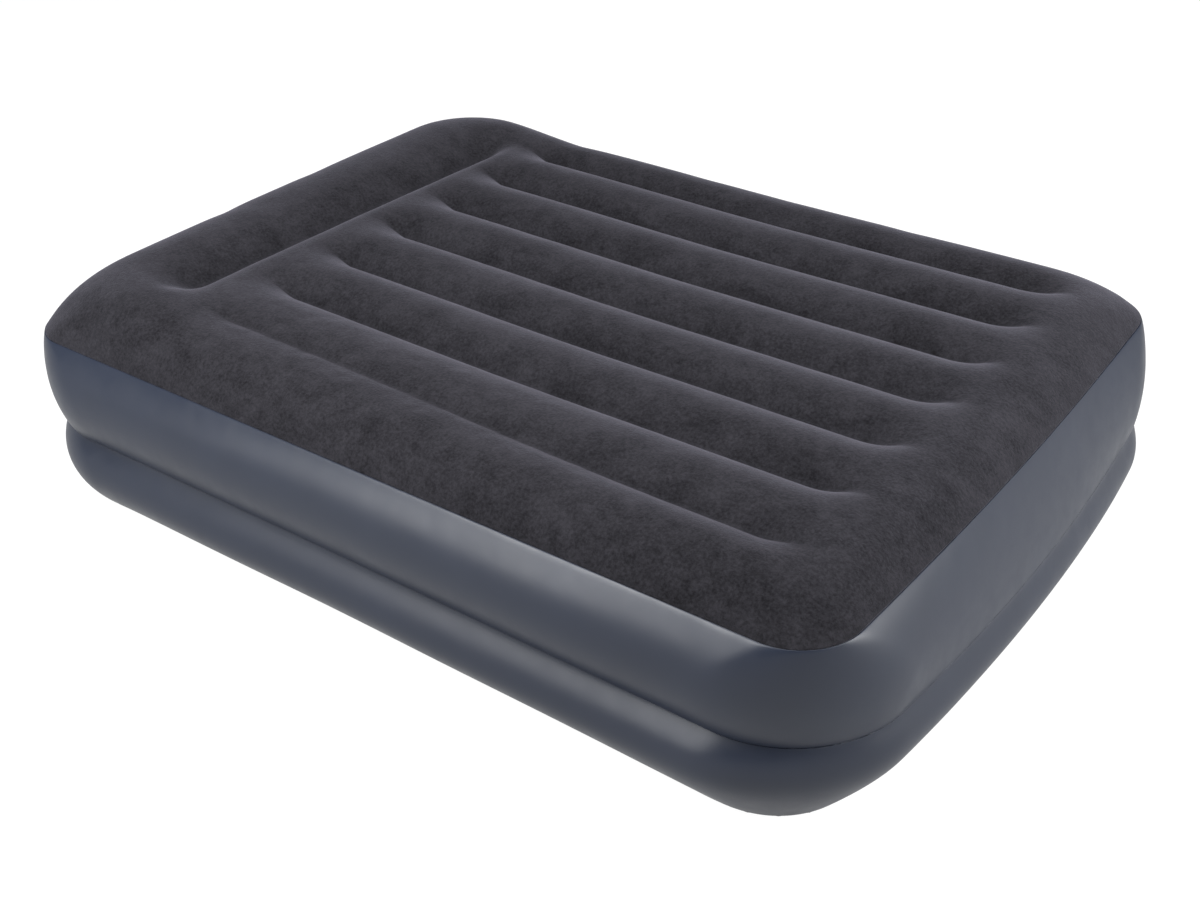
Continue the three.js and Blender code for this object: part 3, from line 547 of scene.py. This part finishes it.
def to_pump(x, y, z):
    return (PUMP_X + z, PUMP_Y + x, PUMP_Z + y)


def prism(name, points, z0, z1):
    n = len(points)
    corners = [to_pump(x, y, z) for z in (z0, z1) for x, y in points]
    faces = [tuple(range(n))[::-1], tuple(range(n, 2 * n))]
    faces += [(i, (i + 1) % n, n + (i + 1) % n, n + i) for i in range(n)]
    return mesh_object(name, corners, faces, smooth=False)


upper = tier("upper_wall_skin", ("seam", "upper_bulge", "waist"), UPPER_ARCH,
             WAIST_Z + 0.6 * MM, SEAM_Z, 11)
cutter = prism("cutter", rounded(*HOLE), -0.08, 0.12)
hole = upper.modifiers.new("pump_hole", "BOOLEAN")
hole.operation, hole.solver, hole.object = "DIFFERENCE", "EXACT", cutter
apply_modifiers(upper)
bpy.data.objects.remove(cutter)
finish_piece(upper, "mattress", "wall_vinyl", ["upper_wall"])
lower = tier("lower_wall_skin", ("waist", "lower_bulge", "base"), LOWER_ARCH,
             0.6 * MM, WAIST_Z - 0.6 * MM, 23)
finish_piece(lower, "mattress", "wall_vinyl", ["lower_wall"])

# ---------------------------------------------------------------- pump pieces
# The pump's own frame, in millimetres here: x across the bed, y up, z the depth into the bed.
PUMP_FRAME = Matrix(((0, 0, MM, PUMP_X), (MM, 0, 0, PUMP_Y), (0, MM, 0, PUMP_Z), (0, 0, 0, 1)))
DIAL = (38, 8)
BAY = (-41, 0)
SWITCH = (38, -42)
HINGE_Y, HINGE_Z = 38.6, 17.0
ROCKER_Z, ROCKER_TILT = 18.5, math.radians(-8)
SCREWS = [(sx * 79, sy * 49) for sx in (-1, 1) for sy in (-1, 1)]


def circle(x, y, r, steps=64, start=0.0, stop=math.tau):
    return [(x + r * math.cos(start + (stop - start) * i / steps),
             y + r * math.sin(start + (stop - start) * i / steps)) for i in range(steps)]


def sector(x, y, inner, outer, start, stop, arm):
    """A ring sector between two arms of a spider, each arm wide."""
    points = []
    for r, turn in ((outer, 1), (inner, -1)):
        trim = math.asin(arm / 2 / r)
        a, b = start + trim, stop - trim
        span = [a + (b - a) * i / 24 for i in range(25)][::turn]
        points += [(x + r * math.cos(t), y + r * math.sin(t)) for t in span]
    return points


def plate(outlines, z0, z1, bevel=0.5, rounds=3):
    """A flat body between two depths, from its outline and its holes, with rounded edges."""
    curve = bpy.data.curves.new("plate", "CURVE")
    curve.dimensions, curve.fill_mode = "2D", "BOTH"
    curve.extrude = (z1 - z0) / 2 - bevel
    curve.bevel_depth, curve.bevel_resolution = bevel, rounds
    curve.offset = -bevel
    for points in outlines:
        spline = curve.splines.new("POLY")
        spline.points.add(len(points) - 1)
        spline.points.foreach_set("co", [v for x, y in points for v in (x, y, 0, 1)])
        spline.use_cyclic_u = True
    obj = bpy.data.objects.new("plate", curve)
    bpy.context.scene.collection.objects.link(obj)
    graph = bpy.context.evaluated_depsgraph_get()
    graph.update()
    mesh = bpy.data.meshes.new_from_object(obj.evaluated_get(graph))
    bpy.data.objects.remove(obj)
    mesh.transform(Matrix.Translation((0, 0, (z0 + z1) / 2)))
    return mesh


def bar(start, end, radius, steps=32, cap=0.3):
    """A round bar between two points, its ends' edges rounded."""
    a, b = Vector(start), Vector(end)
    length = (b - a).length
    rings = [(0, radius - cap), (cap, radius), (length - cap, radius), (length, radius - cap)]
    points = [(r * math.cos(t), r * math.sin(t), z)
              for z, r in rings for t in [math.tau * i / steps for i in range(steps)]]
    faces = grid_faces(4, steps, True) + [tuple(range(steps))[::-1], tuple(range(3 * steps, 4 * steps))]
    mesh = bpy.data.meshes.new("bar")
    mesh.from_pydata(points, [], faces)
    turn = (b - a).to_track_quat("Z", "Y").to_matrix().to_4x4()
    mesh.transform(Matrix.Translation(a) @ turn)
    return mesh


def pump_piece(name, body, slot, meshes, replaces=(), look=None):
    """One object from several bodies given in the pump's frame."""
    joined = bmesh.new()
    for mesh in meshes:
        joined.from_mesh(mesh)
        bpy.data.meshes.remove(mesh)
    bmesh.ops.remove_doubles(joined, verts=joined.verts, dist=1e-4)
    bmesh.ops.recalc_face_normals(joined, faces=joined.faces)
    made = bpy.data.meshes.new(name)
    joined.to_mesh(made)
    joined.free()
    made.transform(PUMP_FRAME)
    obj = bpy.data.objects.new(name, made)
    bpy.context.scene.collection.objects.link(obj)
    made.shade_smooth()
    made.set_sharp_from_angle(angle=math.radians(38))
    finish_piece(obj, body, slot, replaces)
    if look:
        made.materials[0] = look
    return obj


def pump_shell():
    pump_piece("collar_rim", "mattress", "dark_plastic", [
        plate([rounded(204, 144, 30, steps=20), rounded(188, 128, 22, steps=20)], 2, 24.2, 1.6),
        plate([rounded(203, 143, 29.5, steps=20), rounded(176, 116, 16, steps=20)], 24, 50, 0.6),
        plate([rounded(197.5, 137.5, 27, steps=20), rounded(194.5, 134.5, 25.5, steps=20)], 1.4, 3, 0.6),
    ], ["pump_collar"])
    x, y = DIAL
    ports = [sector(x, y, 8.5, 29, math.tau * k / 3, math.tau * (k + 1) / 3, 4) for k in range(3)]
    openings = ports + [rounded(66, 84, 3, *BAY), rounded(31, 15, 1.5, *SWITCH), circle(x, y, 4.3, 32)]
    lugs = [plate([rounded(7.6, 4.8, 1.4, BAY[0] + side * 29.9, 38.2)], 15.5, 20, 0.4)
            for side in (-1, 1)]
    trim = [
        plate([rounded(178, 118, 17, steps=20), rounded(174.5, 114.5, 15.5, steps=20)], 14.9, 16, 0.4),
        plate([rounded(73, 91, 6, *BAY), rounded(69.5, 87.5, 4.5, *BAY)], 14.9, 16, 0.4),
        plate([circle(x, y, 39.5), circle(x, y, 37.6)], 14.9, 16, 0.35),
    ]
    ribs = [plate([rounded(9, 1.6, 0.8, 80, 24 - 6 * k)], 14.8, 16, 0.35) for k in range(8)]
    pump_piece("face_panel", "mattress", "dark_plastic", [
        plate([rounded(187, 127, 21.5, steps=20), *openings], 15.5, 18.7, 0.4), *lugs, *trim, *ribs,
    ], ["pump_faceplate"])
    marks = [
        plate([[(x - 4, y + 45.5), (x + 4, y + 45.5), (x, y + 51)]], 15.0, 15.8, 0.15),
    ]
    for side in (-1, 1):
        turn = math.radians(90 - side * 52)
        cx, cy = x + 43.5 * math.cos(turn), y + 43.5 * math.sin(turn)
        corners = [turn + side * 0.4 + math.tau * k / 3 for k in range(3)]
        points = [(cx + 3.0 * math.cos(a), cy + 3.0 * math.sin(a)) for a in corners]
        marks.append(plate([points], 15.0, 15.8, 0.15))
    pump_piece("dial_marks", "mattress", "grey_plastic", marks, look=MARK)


def screws():
    cross = [(-1.9, -0.4), (-0.4, -0.4), (-0.4, -1.9), (0.4, -1.9), (0.4, -0.4), (1.9, -0.4),
             (1.9, 0.4), (0.4, 0.4), (0.4, 1.9), (-0.4, 1.9), (-0.4, 0.4), (-1.9, 0.4)]
    for number, (x, y) in enumerate(SCREWS, 1):
        head = plate([circle(x, y, 3.6, 40), [(x + u, y + v) for u, v in cross]], 13.0, 14.6, 0.35)
        under = plate([circle(x, y, 3.6, 40)], 14.3, 15.4, 0.2)
        shank = bar((x, y, 15), (x, y, 34), 1.7, 24)
        pump_piece(f"panel_screw_{number}", "mattress", "steel", [head, under, shank],
                   [f"faceplate_screw_{number}"])


def dial():
    x, y = DIAL
    turns = [math.radians(d + t) for d in (40, 65, 90, 115, 140) for t in (0, 180)]
    holes = [circle(x + 25 * math.cos(a), y + 25 * math.sin(a), 3.2, 24) for a in turns]
    rim_grips = [bar((x + 34 * math.cos(a), y + 34 * math.sin(a), 11.2),
                     (x + 34 * math.cos(a), y + 34 * math.sin(a), 13.8), 0.9, 12)
                 for a in [math.tau * i / 48 for i in range(48)]]
    pump_piece("dial_knob", "dial", "grey_plastic", [
        plate([circle(x, y, 34, 96), *holes], 10.5, 14.5, 1.0),
        plate([circle(x, y, 12.5)], 3.6, 11, 1.6),
        plate([rounded(63, 13, 6.4, x, y, 16)], 2.5, 11.2, 2.0, 4),
        *rim_grips,
    ], ["control_dial"])
    pump_piece("dial_pointer", "dial", "grey_plastic",
               [plate([rounded(11, 1.8, 0.9, x + 22, y)], 2.25, 3.2, 0.2)], look=MARK)


def door():
    x, y = BAY
    grips = [plate([rounded(26, 1.3, 0.6, x, -24 - 3.2 * k)], 14.9, 16, 0.35) for k in range(4)]
    pump_piece("bay_door", "cord_door", "grey_plastic", [
        plate([rounded(65, 75.5, 2.5, x, -3.75)], 15.5, 17.9, 0.5),
        plate([rounded(58, 68.5, 2.0, x, -3.75), rounded(56, 66.5, 1.5, x, -3.75)], 15.1, 16, 0.3),
        plate([rounded(50, 8.4, 1.5, x, 35.2)], 15.6, 17.8, 0.4),
        bar((x - 25, HINGE_Y, HINGE_Z), (x + 25, HINGE_Y, HINGE_Z), 2.2),
        plate([rounded(28, 3.2, 1.5, x, -38)], 12.4, 16, 0.9),
        *grips,
    ], ["cord_door"])


def switch():
    x, y = SWITCH
    pump_piece("switch_shell", "mattress", "dark_plastic", [
        plate([rounded(34, 18, 2, x, y), rounded(27.4, 11.2, 0.8, x, y)], 13.9, 15.2, 0.4),
        plate([rounded(30.4, 14.4, 1, x, y), rounded(27.4, 11.2, 0.8, x, y)], 15.0, 27.8, 0.2),
        plate([rounded(30.4, 14.4, 1, x, y)], 27.5, 38, 0.4),
    ], ["switch_body"])
    # The rocker rests tilted to off, about its pin.
    place = Matrix.Translation((x, y, ROCKER_Z)) @ Matrix.Rotation(ROCKER_TILT, 4, "Y")
    along = [1 - 2 * i / 24 for i in range(25)]
    crown = [(12.2 * u, -(5.3 - 1.8 * (1 - abs(u) ** 1.6))) for u in along]
    body = plate([crown + [(-12.2, -1), (-7, 4), (7, 4), (12.2, -1)]], -5.2, 5.2, 0.5)
    body.transform(place @ Matrix.Rotation(math.radians(90), 4, "X"))
    # The symbols sit on the two halves of the rocker's face, which slope towards its middle.
    ring = plate([circle(0, 0, 2.0, 32), circle(0, 0, 1.4, 32)], -0.25, 0.25, 0.1)
    dash = plate([rounded(0.8, 4.0, 0.35)], -0.25, 0.25, 0.1)
    for mark, side in ((ring, 1), (dash, -1)):
        slope = Matrix.Rotation(math.radians(11) * side, 4, "Y")
        mark.transform(place @ Matrix.Translation((7.4 * side, 0, -4.55)) @ slope)
    pump_piece("rocker_key", "rocker", "grey_plastic", [body], ["power_rocker"], look=DARK_KEY)
    pump_piece("rocker_marks", "rocker", "grey_plastic", [ring, dash], look=MARK)


pump_shell()
screws()
dial()
door()
switch()

# ---------------------------------------------------------------- stage
FLOOR_HALF = 40
floor_corners = [(sx * FLOOR_HALF, sy * FLOOR_HALF, 0) for sx, sy in ((-1, -1), (1, -1), (1, 1), (-1, 1))]
floor = mesh_object("floor", floor_corners, [(0, 1, 2, 3)], smooth=False)
pale, pale_shader = material("pale_floor", (0.14, 0.14, 0.14), 0.9, Specular_IOR_Level=0.05)
pale_shader.inputs["Emission Color"].default_value = (1, 1, 1, 1)
# The floor is near white to the camera and dimmer to the vinyl, which mirrors it.
seen = pale.node_tree.nodes.new("ShaderNodeLightPath").outputs["Is Camera Ray"]
glow = pale.node_tree.nodes.new("ShaderNodeMapRange")
FLOOR_MIRRORED, FLOOR_SEEN = 0.55, 0.97
glow.inputs["To Min"].default_value = FLOOR_MIRRORED
glow.inputs["To Max"].default_value = FLOOR_SEEN
pale.node_tree.links.new(seen, glow.inputs["Value"])
pale.node_tree.links.new(glow.outputs["Result"], pale_shader.inputs["Emission Strength"])
floor.data.materials.append(pale)

world = bpy.data.worlds.new("studio")
bpy.context.scene.world = world
world.use_nodes = True
sky = world.node_tree
direction = sky.nodes.new("ShaderNodeSeparateXYZ")
sky.links.new(sky.nodes.new("ShaderNodeTexCoord").outputs["Generated"], direction.inputs[0])
fade = sky.nodes.new("ShaderNodeMapRange")
fade.interpolation_type = "SMOOTHSTEP"
for key, number in (("From Min", 0.03), ("From Max", 0.32), ("To Min", 0.75), ("To Max", 0.10)):
    fade.inputs[key].default_value = number
sky.links.new(direction.outputs["Z"], fade.inputs["Value"])
sky.links.new(fade.outputs["Result"], sky.nodes["Background"].inputs["Strength"])
sky.nodes["Background"].inputs["Color"].default_value = (0.96, 0.97, 1.0, 1)

MIDDLE = (0, 0, 0.3)
# Each softbox: its place, what it points at, the side of its square face, and the face's brightness.
SOFTBOXES = {
    "left_panel": ((-1.20, -3.00, 1.60), MIDDLE, 1.7, 5.2),
    "left_high": ((-0.85, -1.90, 2.95), (0.3, -0.4, 0.3), 1.6, 10.5),
    "foot_high": ((2.26, 0.00, 2.56), MIDDLE, 1.5, 5.0),
    "foot_low": ((2.90, 0.45, 1.05), MIDDLE, 1.4, 7.0),
    "overhead": ((0.00, 0.50, 3.40), MIDDLE, 1.6, 5.0),
}
for name, (place, aim, side, radiance) in SOFTBOXES.items():
    panel = bpy.data.lights.new(name, "AREA")
    panel.size = side
    panel.energy = radiance * math.pi * side * side
    lamp = bpy.data.objects.new(name, panel)
    lamp.location = place
    lamp.rotation_euler = (Vector(aim) - Vector(place)).to_track_quat("-Z", "Y").to_euler()
    lamp.visible_camera = False
    bpy.context.scene.collection.objects.link(lamp)

# ---------------------------------------------------------------- camera
AZIMUTH, ELEVATION, ROLL = map(math.radians, (37.249, 32.302, -1.665))
DISTANCE = 3.063
TARGET = Vector((0.157 + CENTRE_SHIFT, -0.172, 0.200))
LENS = 45.1

back = Vector((math.sin(AZIMUTH) * math.cos(ELEVATION), -math.cos(AZIMUTH) * math.cos(ELEVATION),
               math.sin(ELEVATION)))
level_right = Vector((math.cos(AZIMUTH), math.sin(AZIMUTH), 0))
level_up = back.cross(level_right)
right = level_right * math.cos(ROLL) + level_up * math.sin(ROLL)
up = level_up * math.cos(ROLL) - level_right * math.sin(ROLL)
data = bpy.data.cameras.new("camera")
data.lens = LENS
camera = bpy.data.objects.new("camera", data)
turned = Matrix((right, up, back)).transposed().to_4x4()
camera.matrix_world = Matrix.Translation(TARGET + back * DISTANCE) @ turned
bpy.context.scene.collection.objects.link(camera)
bpy.context.scene.camera = camera
bpy.context.scene.view_settings.view_transform = "Standard"
